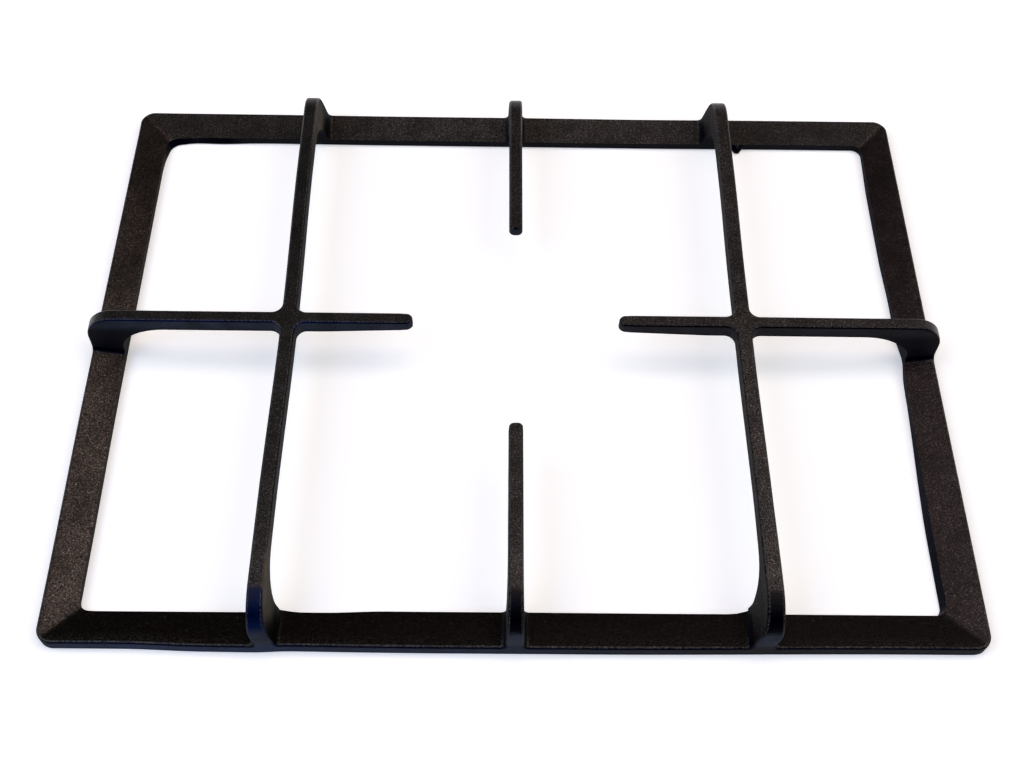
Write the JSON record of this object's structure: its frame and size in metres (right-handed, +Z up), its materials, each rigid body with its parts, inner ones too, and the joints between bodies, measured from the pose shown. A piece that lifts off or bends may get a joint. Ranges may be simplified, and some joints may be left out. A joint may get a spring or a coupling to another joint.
{
  "type": "hob pan support",
  "caption": "Flat rectangular cast-iron frame with raised bars and fingers that hold a pan above a gas burner.",
  "frame": {"origin": "middle of the underside, where the frame rests on the hob", "axes": "+X along the front rail to the right, +Y from the front rail to the back rail, +Z up"},
  "size_m": [0.4, 0.3, 0.0293],
  "materials": {
    "enamelled_iron": "matt black vitreous enamel over a sand-cast surface"
  },
  "bodies": {
    "root": {"pan_support": "enamelled_iron"}
  },
  "joints": []
}
